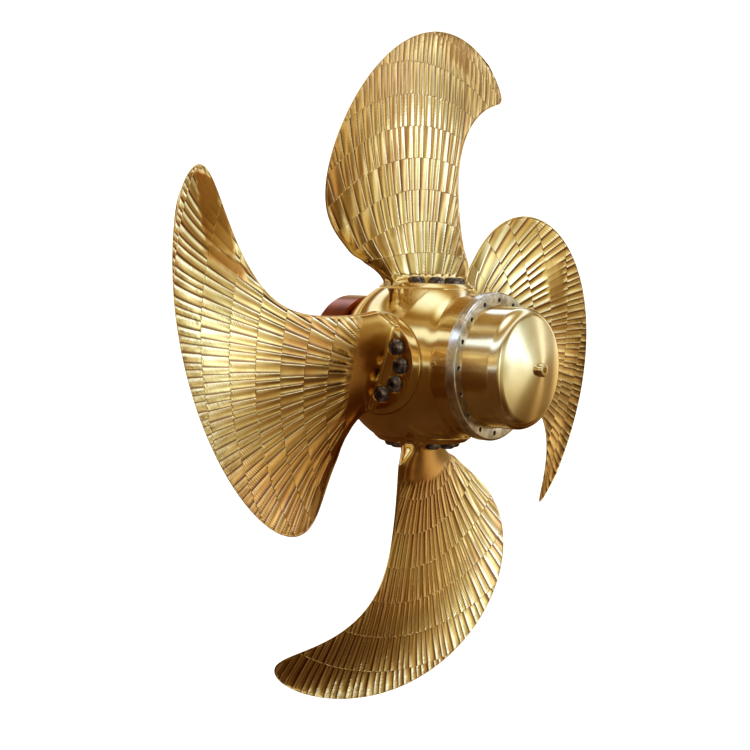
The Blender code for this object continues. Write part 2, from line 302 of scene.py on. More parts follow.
@dataclass
class Wiring:
    """The nodes of a material or of the room: their tree, and the shader that they end in."""

    tree: bpy.types.NodeTree
    shader: Node

    def feed(self, inputs: dict, node: Node | None = None) -> None:
        """Set or link inputs of a node.

        Args:
            inputs: per input name or number, a value or the output socket that feeds it.
            node: the node; left out, it is the shader.
        """
        node = node or self.shader
        for name, value in inputs.items():
            if isinstance(value, Socket):
                self.tree.links.new(value, node.inputs[name])
            else:
                node.inputs[name].default_value = value

    def add(self, kind: str, inputs: dict | None = None, **settings: object) -> Node:
        """Add a node with its settings, values and links.

        Args:
            kind: Blender's name of the node's type, without ShaderNode.
            inputs: per input name or number, a value or the output socket that feeds it.
            settings: the node's own properties.

        Returns:
            The new node.
        """
        node = self.tree.nodes.new("ShaderNode" + kind)
        for name, value in settings.items():
            setattr(node, name, value)
        self.feed(inputs or {}, node)
        return node

    def calc(self, operation: str, *values: float | Socket) -> Socket:
        """Calculate with numbers and sockets; operation is Blender's name of the sum."""
        return self.add("Math", dict(enumerate(values)), operation=operation).outputs[0]

    def noise(self, place: Socket, size_mm: float, detail: float, roughness: float = 0.5) -> Socket:
        """Soft noise from 0 to 1.

        Args:
            place: coordinates in metres.
            size_mm: size of its clouds in millimetres.
            detail: how many finer layers it has.
            roughness: how strong each finer layer is.

        Returns:
            The noise's value.
        """
        inputs = {"Vector": place, "Scale": 1000 / size_mm, "Detail": detail, "Roughness": roughness}
        return self.add("TexNoise", inputs).outputs["Fac"]

    def ramp(self, factor: Socket, stops: Stops, degrees: float = 0) -> Socket:
        """Colour a value by a ramp.

        Args:
            factor: the value from 0 to 1.
            stops: (position, hex colour) pairs.
            degrees: 0 for positions from 0 to 1, else the range of angles round 0 that the value covers.

        Returns:
            The colour.
        """
        node = self.add("ValToRGB", {"Fac": factor})
        elements = node.color_ramp.elements
        while len(elements) < len(stops):
            elements.new(0.5)
        for element, (position, colour) in zip(elements, stops):
            element.position = 0.5 + position / degrees if degrees else position
            element.color = linear(colour)
        return node.outputs["Color"]

    def mix(self, factor: float | Socket, under: Socket, over: Socket | tuple, blend: str = "MIX") -> Socket:
        """Lay one colour over another.

        Args:
            factor: how much of the upper colour shows.
            under: the lower colour.
            over: the upper colour.
            blend: how they blend: MIX or MULTIPLY.

        Returns:
            The mixed colour.
        """
        inputs = {"Factor": factor, "A": under, "B": over}
        return self.add("Mix", inputs, data_type="RGBA", blend_type=blend).outputs["Result"]

    def stretch(self, value: Socket, low: float, high: float, kind: str = "LINEAR",
                to_low: float = 0, to_high: float = 1) -> Socket:
        """Map one range of values to another.

        Args:
            value: the value to map.
            low: lower end of its range.
            high: upper end of its range.
            kind: LINEAR or SMOOTHSTEP.
            to_low: what the lower end becomes.
            to_high: what the upper end becomes.

        Returns:
            The mapped value.
        """
        inputs = {"Value": value, "From Min": low, "From Max": high, "To Min": to_low, "To Max": to_high}
        return self.add("MapRange", inputs, interpolation_type=kind).outputs["Result"]

    def bump(self, height: Socket, strength: float, mm: float, normal: Socket | None = None,
             invert: bool = False) -> Socket:
        """Tilt the surface by a height.

        Args:
            height: the height's value.
            strength: share of the full effect.
            mm: millimetres that a height of 1 stands for.
            normal: another bump that lies under this one.
            invert: whether a higher value lies deeper.

        Returns:
            The normal.
        """
        inputs = {"Height": height, "Strength": strength, "Distance": mm / 1000}
        if normal:
            inputs["Normal"] = normal
        return self.add("Bump", inputs, invert=invert).outputs["Normal"]


@dataclass(frozen=True)
class Finish:
    """What every finish has: its name and its typical reflection values."""

    name: str
    metallic: float
    roughness: float

    def material(self) -> bpy.types.Material:
        """Make the material, or give the one that is there already.

        Returns:
            The material.
        """
        there = bpy.data.materials.get(self.name)
        if there:
            return there
        made = bpy.data.materials.new(self.name)
        made.use_nodes = True
        wiring = Wiring(made.node_tree, made.node_tree.nodes["Principled BSDF"])
        wiring.feed({"Metallic": self.metallic, "Roughness": self.roughness})
        self.dress(wiring, wiring.add("TexCoord").outputs["Object"])
        return made

    def dress(self, wiring: Wiring, place: Socket) -> None:
        """Add the finish's own pattern.

        Args:
            wiring: the material's nodes.
            place: object coordinates in metres.
        """
        raise NotImplementedError

    def put_on(self, item: Item) -> None:
        """Make this the only material of an object."""
        item.data.materials.clear()
        item.data.materials.append(self.material())


@dataclass(frozen=True)
class MilledBronze(Finish):
    """Nickel-aluminium bronze as the ball cutter left it, buffed and oiled.

    The eye sees a golden metal with clouds of brown tarnish under a thin gloss of oil, and in it grooves with
    fine feed marks. A painted highlight runs along each groove's crest and painted shade along its lee side; the
    browned patches hold tarnish, while the unmilled root is browned by painted shade.
    """

    bright: str = "#e2cc88"
    mid: str = "#d9b970"
    dark: str = "#c3924c"
    # painted highlight: the cream colour laid along each groove's crest
    painted_crest_highlight: str = "#fff3cc"
    # painted shade: the brown laid along each groove's lee side
    painted_lee_shade: str = "#94713f"
    # browning by the patches' tarnish and by painted shade at the blade's root
    tarnish_and_root_shade: str = "#dfb262"
    cloud_mm: float = 220.0
    feed_marks_mm: float = 9.0
    ridge_mm: float = 0.6
    oil: float = 0.8

    def dress(self, wiring: Wiring, place: Socket) -> None:
        """Clouds of tarnish, fine feed marks, the film of oil, crisp crests on the grooves of the mesh with a painted
        highlight on each crest and painted shade on its lee side, and browning from tarnish and from painted shade at
        the root.

        Args:
            wiring: the material's nodes.
            place: object coordinates in metres.
        """
        count, sharp, brown_and_root_shade = [wiring.add("Attribute", attribute_name=name).outputs["Fac"]
                               for name in (GROOVE_COUNT, GROOVE_SHARPNESS, TARNISH_AND_ROOT_SHADE)]
        across = wiring.calc("FRACT", count)
        clouds = wiring.noise(place, self.cloud_mm, 3.0, 0.55)
        colour = wiring.ramp(clouds, [(0.34, self.dark), (0.50, self.mid), (0.64, self.bright)])
        # painted shade: a dark line beside each crest, on the groove's lee side
        painted_lee_shade = wiring.ramp(across, [(0.68, WHITE), (0.83, self.painted_lee_shade), (0.93, self.painted_lee_shade), (0.98, WHITE)])
        colour = wiring.mix(sharp, colour, painted_lee_shade, "MULTIPLY")
        # painted highlight: a cream line along each groove's crest
        painted_crest_highlight = wiring.ramp(across, [(0.0, WHITE), (0.16, WHITE), (0.36, BLACK), (0.95, BLACK), (0.985, WHITE)])
        colour = wiring.mix(wiring.calc("MULTIPLY", painted_crest_highlight, sharp), colour, linear(self.painted_crest_highlight))
        # browning from the patches' tarnish and from painted shade at the root
        colour = wiring.mix(brown_and_root_shade, colour, linear(self.tarnish_and_root_shade), "MULTIPLY")
        marks = wiring.noise(place, self.feed_marks_mm, 2.0)
        gloss = wiring.stretch(marks, 0.3, 0.7, to_low=self.roughness - 0.03, to_high=self.roughness + 0.04)
        hollow = wiring.calc("MULTIPLY", across, wiring.calc("SUBTRACT", 1.0, across))
        ridges = wiring.bump(wiring.calc("MULTIPLY", hollow, sharp), 1.0, 4 * self.ridge_mm,
                             wiring.bump(marks, 0.06, 0.2), invert=True)
        wiring.feed({"Base Color": colour, "Roughness": gloss, "Normal": ridges, "Coat Weight": self.oil,
                     "Coat Roughness": 0.12})


@dataclass(frozen=True)
class TurnedBronze(Finish):
    """Bronze turned on a lathe, buffed and oiled: a mirror drawn out along the shaft by its fine rings."""

    bright: str = "#dfc480"
    dark: str = "#d0ac66"
    ring_mm: float = 4.0
    cloud_mm: float = 120.0
    oil: float = 0.8

    def dress(self, wiring: Wiring, place: Socket) -> None:
        """Rings of the turning tool along the shaft, and faint clouds of tarnish.

        Args:
            wiring: the material's nodes.
            place: object coordinates in metres.
        """
        clouds = wiring.noise(place, self.cloud_mm, 4.0)
        rings = wiring.add("TexWave", {"Vector": place, "Scale": 1000 / self.ring_mm / math.tau, "Distortion": 0.6,
                                       "Detail": 1.0}, wave_type="BANDS", bands_direction="Y")
        wiring.feed({"Base Color": wiring.ramp(clouds, [(0.32, self.dark), (0.62, self.bright)]),
                     "Normal": wiring.bump(rings.outputs["Fac"], 0.05, 0.2),
                     "Tangent": wiring.add("Tangent", direction_type="RADIAL", axis="Y").outputs["Tangent"],
                     "Anisotropic": 0.7, "Coat Weight": self.oil, "Coat Roughness": 0.06})


@dataclass(frozen=True)
class CastZinc(Finish):
    """Cast zinc, turned once and left bare: pale grey with a matte bloom and darker pits."""

    bright: str = "#ece9e4"
    dark: str = "#b5b2ac"
    mottle_mm: float = 30.0

    def dress(self, wiring: Wiring, place: Socket) -> None:
        """A mottle of casting grain in colour and height.

        Args:
            wiring: the material's nodes.
            place: object coordinates in metres.
        """
        mottle = wiring.noise(place, self.mottle_mm, 4.0)
        wiring.feed({"Base Color": wiring.ramp(mottle, [(0.34, self.dark), (0.60, self.bright)]),
                     "Normal": wiring.bump(mottle, 0.3, 1)})


@dataclass(frozen=True)
class BlackenedSteel(Finish):
    """Forged alloy steel with a black oxide and a film of oil: near black with a soft grey gloss."""

    bright: str = "#958c86"
    dark: str = "#463c37"
    wear_mm: float = 18.0

    def dress(self, wiring: Wiring, place: Socket) -> None:
        """Worn grey spots in the black."""
        wear = wiring.noise(place, self.wear_mm, 3.0)
        wiring.feed({"Base Color": wiring.ramp(wear, [(0.45, self.dark), (0.72, self.bright)])})


@dataclass(frozen=True)
class PalePaint(Finish):
    """Matte studio paint of the floor and its curved wall, evenly lit from behind."""

    bright: str = "#f4f3f0"
    dark: str = "#efeeeb"
    patch_mm: float = 1666.67
    glow: float = 0.35

    def dress(self, wiring: Wiring, place: Socket) -> None:
        """A faint unevenness of rolled paint."""
        tint = wiring.ramp(wiring.noise(place, self.patch_mm, 2.0), [(0.3, self.dark), (0.7, self.bright)])
        wiring.feed({"Base Color": tint, "Emission Color": tint, "Emission Strength": self.glow})


MILLED = MilledBronze("milled_bronze", 1.0, 0.14)
TURNED = TurnedBronze("turned_bronze", 1.0, 0.13)
# A paler copy of the turned bronze for the cap and its plug: painted highlight, so the cap reads brighter than the
# hub.
CAP_BRONZE_PAINTED_LIGHT = TurnedBronze("cap_bronze_painted_light", 1.0, 0.15, bright="#ebe0ba", dark="#dfcc9e")
# A dark red-brown copy of the turned bronze for the flange, without oil: painted shade of the flange behind hub and
# blades.
FLANGE_BRONZE_PAINTED_SHADE = TurnedBronze("flange_bronze_painted_shade", 1.0, 0.20, bright="#94420f", dark="#662605", oil=0.0)
ZINC = CastZinc("cast_zinc", 1.0, 0.26)
BLACK_STEEL = BlackenedSteel("blackened_steel", 0.9, 0.16)
# The ring's screws, a dull near black without gloss: painted shade of their deep holes.
SCREW_STEEL_PAINTED_SHADE = BlackenedSteel("screw_steel_painted_shade", 0.0, 0.9, bright="#1c1713", dark="#0b0908")
PAINT = PalePaint("pale_paint", 0.0, 0.8)


def fit(item: Item, finish: Finish, body: str, slot: str, *nodes: str, mirrored: bool = True) -> None:
    """Dress a finished piece, let it ride on its body and hide the CAD solids that it stands for.

    Args:
        item: the finished piece.
        finish: its finish.
        body: the body that it rides on.
        slot: the record's material slot; not used.
        nodes: the CAD nodes that it replaces.
        mirrored: whether the polished bronze round it shows its mirror image.
    """
    finish.put_on(item)
    item.visible_glossy = mirrored
    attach(item, body)
    if nodes:
        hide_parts(*nodes)


@dataclass
class Hub:
    """The hub: a ball with a flat for each blade, a neck before it and a barrel behind it.

    `long_ease` and `short_ease` are the legs of the small bevels at both ends.
    """

    flat: float = 0.262
    ball_start: float = 0.181
    neck_radius: float = 0.219
    neck_length: float = 0.066
    barrel_radius: float = 0.252
    barrel_end: float = -0.27434
    barrel_fillet: float = 0.090
    long_ease: float = 0.002
    short_ease: float = 0.0015
    port_radius: float = 0.152
    port_depth: float = 0.072
    plug_radius: float = 0.010
    plug_height: float = 0.0015
    plug_depth: float = 0.012
    plug_rounding: float = 0.001
    plug_socket: Sequence[float] = (0.0048, 0.0042)
    plug_socket_depth: float = 0.003
    plug_station: float = -0.222
    plug_angle: float = -2.0
    sides: int = 144

    @property
    def ball_radius(self) -> float:
        """Radius of the ball that the flats are cut from."""
        return math.hypot(self.flat, self.ball_start)

    def body(self) -> Item:
        """Turn the hub, cut the four flats and bore the four ports.

        Returns:
            The hub at its place.
        """
        start = math.degrees(math.asin(self.ball_start / self.ball_radius))
        reach = self.ball_radius + self.barrel_fillet
        hollow = self.barrel_radius + self.barrel_fillet
        end = -math.degrees(math.acos(hollow / reach))
        station = -math.sqrt(reach ** 2 - hollow ** 2)
        neck_end = self.ball_start + self.neck_length
        profile = [(0, neck_end), (self.neck_radius - self.long_ease, neck_end),
                   (self.neck_radius, neck_end - self.short_ease)]
        profile += arc(0, 0, self.ball_radius, start, end, 40)
        profile += arc(hollow, station, self.barrel_fillet, 180 + end, 180, 10)[1:]
        profile += [(self.barrel_radius, self.barrel_end + self.long_ease),
                    (self.barrel_radius - self.short_ease, self.barrel_end), (0, self.barrel_end)]
        item = turned(profile, self.sides)
        turns = [Matrix.Rotation(quarter * QUARTER, 4, "Y") for quarter in range(4)]
        with editing(item, "VERT"):
            for turn in turns:
                out = turn @ Vector((1, 0, 0))
                bpy.ops.mesh.select_all(action="SELECT")
                bpy.ops.mesh.bisect(plane_co=out * self.flat, plane_no=out, use_fill=True, clear_outer=True)
            face_outwards()
        for turn in turns:
            carve(item, rod(self.port_radius, self.flat - self.port_depth, self.flat + OVERRUN, 96, turn))
        smooth(item, 20)
        return settle(item, "bronze_hub", AT_HUB)

    def barrel_plug(self) -> Item:
        """The small screwed plug in the barrel's side.

        Returns:
            The plug at its place.
        """
        radius = self.barrel_radius
        top, floor = radius + self.plug_height, radius - self.plug_socket_depth
        wide, narrow = self.plug_socket
        profile = [(0, radius - self.plug_depth), (self.plug_radius, radius - self.plug_depth)]
        profile += arc(self.plug_radius - self.plug_rounding, top - self.plug_rounding, self.plug_rounding, 0, 90, 3)
        profile += [(wide, top), (narrow, floor), (0, floor)]
        item = turned(profile, 32, "Z")
        smooth(item)
        turn = math.radians(90 + self.plug_angle)
        place = Matrix.Translation((0, self.plug_station, 0)) @ Matrix.Rotation(-turn, 4, "Y")
        return settle(item, "barrel_plug", AT_HUB @ place)

    def build(self) -> None:
        """Make the hub and the plug in its barrel."""
        fit(self.body(), TURNED, "hub", "bronze", "hub_body")
        fit(self.barrel_plug(), TURNED, "hub", "bronze")


@dataclass
class ShaftFlange:
    """The forward flange with its ring of threaded holes."""

    radius: float = 0.232
    thickness: float = 0.116
    chamfer: float = 0.008
    holes: int = 8
    hole_radius: float = 0.018
    hole_depth: float = 0.060
    hole_circle: float = 0.190
    sides: int = 144

    def build(self) -> None:
        """Turn the flange, chamfer it and drill its holes."""
        back = -self.thickness
        rim = self.radius - self.chamfer
        profile = [(0, 0), (rim, 0), (self.radius, -self.chamfer), (self.radius, back + self.chamfer), (rim, back),
                   (0, back)]
        item = turned(profile, self.sides)
        for place in around_shaft(self.holes, self.hole_circle, 0, 0.5, -1):
            carve(item, rod(self.hole_radius, -self.hole_depth, OVERRUN, 32, place))
        smooth(item)
        fit(settle(item, "bronze_flange"), FLANGE_BRONZE_PAINTED_SHADE, "hub", "bronze", "shaft_flange")


@dataclass
class AnodeRing:
    """The zinc ring on the hub's aft face, held by sixteen screws."""

    front: float
    inner: float = 0.215
    outer: float = 0.260
    thickness: float = 0.038
    rounding: float = 0.009
    inner_rounding: float = 0.002
    screws: int = 16
    screw_circle: float = 0.2325
    hole_radius: float = 0.0090
    hole_depth: float = 0.010
    head_radius: float = 0.0085
    head_height: float = 0.0085
    head_chamfer: float = 0.0008
    buried: float = 0.004
    socket_radius: float = 0.0029
    socket_depth: float = 0.003
    sides: int = 144

    @property
    def back(self) -> float:
        """Station of the ring's aft face."""
        return self.front - self.thickness

    def places(self) -> list[Matrix]:
        """Where the screws stand, each with its own +Z aft."""
        return around_shaft(self.screws, self.screw_circle, self.back, 0, 1)

    def ring(self) -> Item:
        """Turn the ring and bore a seat for each screw.

        Returns:
            The ring at its place.
        """
        edge = self.inner_rounding
        profile = [(self.inner, self.front), (self.outer, self.front)]
        profile += arc(self.outer - self.rounding, self.back + self.rounding, self.rounding, 0, -90, 8)
        profile += arc(self.inner + edge, self.back + edge, edge, -90, -180, 3)
        profile += [(self.inner, self.front)]
        item = turned(profile, self.sides)
        carve(item, joined([rod(self.hole_radius, -self.hole_depth, OVERRUN, 20, place) for place in self.places()]))
        smooth(item)
        return settle(item, "zinc_ring", AT_HUB)

    def screw_heads(self) -> Item:
        """Model one socket screw, copy it round the ring and join the copies.

        Returns:
            All the screws in one piece, at their places.
        """
        low = -self.hole_depth - self.buried
        top = self.head_height - self.hole_depth
        first = turned([(0, low), (self.head_radius, low), (self.head_radius, top - self.head_chamfer),
                        (self.head_radius - self.head_chamfer, top), (0, top)], 16, "Z")
        carve(first, rod(self.socket_radius, top - self.socket_depth, top + OVERRUN, 6, Matrix()))
        smooth(first)
        heads = [copy_of(first, f"ring_screw_{number}", place) for number, place in enumerate(self.places(), 1)]
        bpy.data.objects.remove(first, do_unlink=True)
        return settle(joined(heads), "ring_screws", AT_HUB)

    def build(self) -> None:
        """Make the ring and its screws."""
        fit(self.ring(), ZINC, "hub", "zinc", "anode_ring", mirrored=False)
        fit(self.screw_heads(), SCREW_STEEL_PAINTED_SHADE, "hub", "steel", mirrored=False)


@dataclass
class HubCap:
    """The cap inside the ring, and the plug in its tip."""

    base: float
    radius: float = 0.212
    cylinder: float = 0.13588
    shoulder: float = 0.045
    cone: float = 13
    tip_radius: float = 0.030
    head_radius: float = 0.024
    head_height: float = 0.020
    head_chamfer: float = 0.001
    head_rounding: float = 0.007
    socket_radius: float = 0.0105
    socket_depth: float = 0.012
    stem_radius: float = 0.012
    stem_length: float = 0.030
    sides: int = 144

    @property
    def tip(self) -> float:
        """Where the cap's flat tip lies.

        Returns:
            Its station along the shaft.
        """
        slope = math.radians(self.cone)
        edge = self.radius - self.shoulder * (1 - math.sin(slope))
        end = self.base - self.cylinder - self.shoulder * math.cos(slope)
        return end - (edge - self.tip_radius) * math.tan(slope)

    def cap(self) -> Item:
        """Turn the cap: a cylinder, a round shoulder and a shallow cone with a hole for the plug.

        Returns:
            The cap at its place.
        """
        hole = self.stem_radius + GAP
        bottom = self.tip + self.stem_length + GAP
        profile = [(0, self.base), (self.radius, self.base)]
        profile += arc(self.radius - self.shoulder, self.base - self.cylinder, self.shoulder, 0, self.cone - 90, 20)
        profile += [(self.tip_radius, self.tip), (hole, self.tip), (hole, bottom), (0, bottom)]
        item = turned(profile, self.sides)
        smooth(item)
        return settle(item, "bronze_cap", AT_HUB)

    def plug(self) -> Item:
        """Turn the plug with a rounded head, and sink a hexagon socket into it.

        Returns:
            The plug at its place.
        """
        seat = self.tip - GAP
        crown = seat - self.head_height
        rounding = self.head_rounding
        profile = [(0, seat + self.stem_length), (self.stem_radius, seat + self.stem_length), (self.stem_radius, seat),
                   (self.head_radius - self.head_chamfer, seat), (self.head_radius, seat - self.head_chamfer)]
        profile += arc(self.head_radius - rounding, crown + rounding, rounding, 0, -90, 8)
        profile += [(0, crown)]
        item = turned(profile, 48)
        place = Matrix.Translation((0, crown, 0)) @ Matrix.Rotation(QUARTER, 4, "X")
        carve(item, rod(self.socket_radius, -self.socket_depth, OVERRUN, 6, place))
        smooth(item)
        return settle(item, "tip_plug", AT_HUB)

    def build(self) -> None:
        """Make the cap and its plug."""
        fit(self.cap(), CAP_BRONZE_PAINTED_LIGHT, "hub", "bronze", "hub_cap")
        fit(self.plug(), CAP_BRONZE_PAINTED_LIGHT, "hub", "bronze", "cap_plug")


def chance(number: Grid, seed: float) -> Grid:
    """A fixed scatter of values from 0 to 1, one for each number."""
    value = np.sin(number * 12.9898 + seed * 78.233) * 43758.5453
    return value - np.floor(value)


def ease(t: Grid) -> Grid:
    """The smooth step from 0 to 1, level at both ends."""
    t = np.clip(t, 0, 1)
    return t * t * (3 - 2 * t)


def through(values: Sequence[float], t: Grid) -> Grid:
    """The smooth curve through evenly spaced values.

    Args:
        values: what the curve runs through.
        t: where it is read, from 0 to 1.

    Returns:
        The curve's values.
    """
    last = len(values) - 1
    total = np.zeros_like(t)
    for i, value in enumerate(values):
        share = np.full_like(t, value)
        for j in range(len(values)):
            if j != i:
                share = share * (t * last - j) / (i - j)
        total = total + share
    return total


@dataclass
class SmoothPatch:
    """A place on a blade's face that was ground smoother and tarnished: its middle, half sizes and slants.

    `slope` slants its sides along the grooves, `lean` the other two, and `fade` is the width of its soft edge as a
    share of its size. `stain` says how brown it is and `smoothed` how far its grooves are gone, each from 0 to 1.
    `squareness` is the power of its outline, which the `ripples` throw off by its `raggedness`.
    """

    along: float
    radius: float
    half_along: float
    half_radius: float
    stain: float = 0.9
    smoothed: float = 0.85
    slope: float = 0.0
    lean: float = 0.0
    fade: float = 0.35
    rim: float = 1.15
    squareness: int = 6
    raggedness: float = 0.03
    ripples: Sequence[tuple[float, float]] = ((147, 23), (-31, 183))

    def cover(self, along: Grid, radius: Grid) -> Grid:
        """How far the patch covers points of the face.

        Args:
            along: places along the chord.
            radius: distances from the shaft's axis.

        Returns:
            From 0 outside the patch to 1 inside it.
        """
        sideways, outward = along - self.along, radius - self.radius
        away = (((sideways + self.slope * outward) / self.half_along) ** self.squareness
                + ((outward + self.lean * sideways) / self.half_radius) ** self.squareness) ** (1 / self.squareness)
        for chordwise, radial in self.ripples:
            away += self.raggedness * np.sin(chordwise * along + radial * radius)
        return ease((self.rim - away) / self.fade)


@dataclass
class Milling:
    """Grooves of the ball cutter in bands between equal radii, fanned out from one point, and the patches on them."""

    fan_along: float                # the point that the grooves fan out from
    fan_radius: float
    groove: float                   # width of a groove in the middle of its band
    first_border: float
    band: float                     # height of a band
    bands: int = 12
    narrowing: float = 0.0          # how much narrower each next band's grooves are, as a share
    curl: float = 0.0               # how far they bend on the trailing side
    depth: float = 0.0023
    shallowest: float = 0.75        # least share of that depth, before the scatter
    depth_scatter: float = 0.35
    scatter_seed: float = 31.7
    tilt: float = 0.20              # how lopsided a groove is
    wobble: float = 0.16            # unevenness of the widths, as a share of a groove
    wobble_pace: Sequence[float] = (1.9, 2.3)
    band_shift: float = 5.0
    edge_rest: float = 0.002
    edge_fade: float = 0.007
    border_fade: float = 0.010
    border_rise: float = 0.1
    start: float = 0.0
    start_fade: float = 0.024
    root: float = 0.300
    root_fade: float = 0.050
    # painted shade: how brown the unmilled band beside the palm is made
    root_painted_shade: float = 0.6
    patches: Sequence[SmoothPatch] = ()

    def borders(self) -> list[float]:
        """Radii where one band ends and the next starts."""
        return [self.first_border + number * self.band for number in range(self.bands)]

    def cut(self, along: Grid, radius: Grid, to_edge: Grid, seed: float) -> tuple[Grid, Grid, Grid, Grid]:
        """Lay the grooves over points of a face.

        Args:
            along: places along the chord.
            radius: distances from the shaft's axis.
            to_edge: distances from the nearer edge of the blade.
            seed: tells one face's pattern from another's.

        Returns:
            Depths in metres, the grooves counted across the fan, how sharp their ridges are, from 0 to 1, and how
            brown the metal is from tarnish and from painted shade at the root, from 0 to 1.
        """
        level = (radius - self.first_border) / self.band
        band = np.floor(level)
        count = self.groove_count(along, radius, band, seed)
        number = np.floor(count)
        across = count - number
        profile = 4 * across * (1 - across) + self.tilt * across
        kept = ease((radius - (self.start or self.first_border)) / self.start_fade)
        # painted shade browns the unmilled band at the root; the patches add their tarnish
        stain = self.root_painted_shade * (1 - kept) * ease((radius - self.root) / self.root_fade)
        for patch in self.patches:
            cover = patch.cover(along, radius)
            kept = kept * (1 - patch.smoothed * cover)
            stain = np.maximum(stain, patch.stain * cover)
        reach = kept * np.clip((to_edge - self.edge_rest) / self.edge_fade, 0, 1)
        inside = np.minimum(level - band, 1 - level + band) * self.band
        scatter = self.shallowest + self.depth_scatter * chance(number + self.scatter_seed * band, seed)
        sunk = 1 - self.border_rise * (1 - np.clip(inside / self.border_fade, 0, 1))
        deep = self.depth * scatter * profile * reach * sunk
        return deep, count, reach * np.clip((inside - BORDER_GAP) / BORDER_GAP, 0, 1), stain

    def groove_count(self, along: Grid, radius: Grid, band: Grid, seed: float) -> Grid:
        """Number of grooves counted across the fan, with a fraction inside each groove.

        Args:
            along: places along the chord.
            radius: distances from the shaft's axis.
            band: the band of each point.
            seed: tells one face's pattern from another's.

        Returns:
            The count at each point.
        """
        middle = self.first_border + (band + 0.5) * self.band
        aside = along - self.fan_along
        spread = aside * (1 + self.curl * np.minimum(0, aside) * (radius - middle))
        fan = np.arctan2(spread, radius - self.fan_radius)
        groove = self.groove * (1 - self.narrowing * band)
        count = fan * (middle - self.fan_radius) / groove + self.band_shift * chance(band, seed)
        per_groove, per_band = self.wobble_pace
        return count + self.wobble * np.sin(per_groove * count + per_band * band)


@dataclass
class BladeForm:
    """The blade's sections, with values at even steps from the palm's face to the tip; the pitches are in degrees."""

    chords: Sequence[float] = (0.471, 0.525, 0.697, 0.849, 0.874, 0.519)
    skews: Sequence[float] = (0.001, 0.086, 0.178, 0.189, -0.013, -0.527)
    pitches: Sequence[float] = (19.7, 8.0, -2.3, -9.8)
    rakes: Sequence[float] = (0.0, 0.0145, 0.014, 0.024)
    tip_bluntness: float = 30
    root_thickness: float = 0.086
    tip_thickness: float = 0.010
    thickness_fall: float = 1.25
    camber: float = 0.018
    camber_height: float = 0.190
    wrap_full_radius: float = 0.520
    wrap_least: float = 0.02
    fillet: float = 0.034
    leading_heel_radius: float = 0.172
    trailing_heel_radius: float = 0.164
    leading_heel: float = 0.100
    trailing_heel: float = 0.110
    root_bluntness: float = 0.22
    blunt_height: float = 0.08
    face: float = 0.284
    tip_radius: float = 1.24655
    columns: int = 280
    column_crowding: float = 0.15
    edge_columns: Sequence[float] = (0.05, 0.2, 0.5)
    low_rows: Sequence[float] = (-0.011, 0.0, 0.002, 0.005, 0.009, 0.013, 0.017, 0.021, 0.025, 0.029)
    root_row: float = 0.010
    tip_row: float = 0.004
    fine_from: float = 0.55
    fine_over: float = 0.25
    tip_zone: float = 0.012
    tip_rows: int = 11
    border_room: float = 0.005
    tip_rest: float = 1.5

    @property
    def span(self) -> float:
        """Length of the blade from the palm's face to the tip."""
        return self.tip_radius - self.face

    def edges(self, t: Grid) -> tuple[Grid, Grid]:
        """The blade's edges, which run out of the heels beside the palm.

        Args:
            t: heights above the palm, as shares of the span.

        Returns:
            Where the leading and the trailing edge lie along the chord.
        """
        chord = through(self.chords, t) * np.sqrt(np.maximum(0, 1 - np.maximum(0, t) ** self.tip_bluntness))
        middle = through(self.skews, t)
        rise = t * self.span
        fan = np.sin(np.clip(rise / self.leading_heel, 0, 1) * QUARTER)
        leading = self.leading_heel_radius + (middle + chord / 2 - self.leading_heel_radius) * fan
        fan = ease(rise / self.trailing_heel)
        return leading, -self.trailing_heel_radius + (middle - chord / 2 + self.trailing_heel_radius) * fan

    def half_thickness(self, t: Grid) -> Grid:
        """Half the section's thickness, with the fillet above the palm.

        Args:
            t: heights above the palm, as shares of the span.

        Returns:
            The half thicknesses.
        """
        thickness = self.tip_thickness + self.root_thickness * (1 - np.maximum(0, t)) ** self.thickness_fall
        rest = np.maximum(0, self.fillet - np.maximum(0, t) * self.span)
        return thickness / 2 + self.fillet - np.sqrt(self.fillet ** 2 - rest ** 2)

    def place(self, t: Grid, along: Grid, across: Grid) -> Grid:
        """Points of the blade in its own frame, +Z out along the spindle.

        Args:
            t: heights above the palm, as shares of the span.
            along: places along the chord.
            across: places across it, forward positive.

        Returns:
            One row of x, y, z for each point.
        """
        radius = self.face + t * self.span
        pitch = through([math.radians(p) for p in self.pitches], t)
        tangent = along * np.cos(pitch) - across * np.sin(pitch)
        axial = through(self.rakes, t) + along * np.sin(pitch) + across * np.cos(pitch)
        wrap = ease((radius - self.face) / (self.wrap_full_radius - self.face))
        bend = radius / np.maximum(self.wrap_least, wrap)
        turn = tangent / bend
        return np.stack([-bend * np.sin(turn), axial, radius - bend * (1 - np.cos(turn))], -1)

    def rows(self, borders: Sequence[float]) -> Grid:
        """Heights of the mesh's rows: a close pair at each border of the grooves, and closer towards the tip.

        Args:
            borders: radii where the bands of grooves meet.

        Returns:
            The heights as shares of the span.
        """
        last = self.span - self.tip_zone
        room = self.border_room
        stops = [self.fillet] + [b - self.face for b in borders if self.fillet + room < b - self.face < last - room]
        rows = []
        for here, there in zip(stops, stops[1:] + [last]):
            finer = float(ease((here - self.fine_from) / self.fine_over))
            step = self.root_row + (self.tip_row - self.root_row) * finer
            inner = np.linspace(here + 2 * BORDER_GAP, there - 2 * BORDER_GAP, math.ceil((there - here) / step) - 1)
            rows += [here + BORDER_GAP, *inner, there - BORDER_GAP]
        left = 1 - np.arange(1, self.tip_rows + 1) / (self.tip_rows + 0.5)
        return np.concatenate([self.low_rows, rows, self.span - self.tip_zone * left ** 2]) / self.span

    def across_steps(self) -> Grid:
        """Places across one face from the leading edge to the trailing edge, closer at both edges.

        Returns:
            The places, from 1 to -1.
        """
        even = np.linspace(1, -1, self.columns)
        eased = (1 - self.column_crowding) * even + self.column_crowding * np.sin(even * QUARTER)
        near = 1 - (1 - eased[1]) * np.array(self.edge_columns)
        return np.concatenate([[1.0], near, eased[1:-1], -near[::-1], [-1.0]])

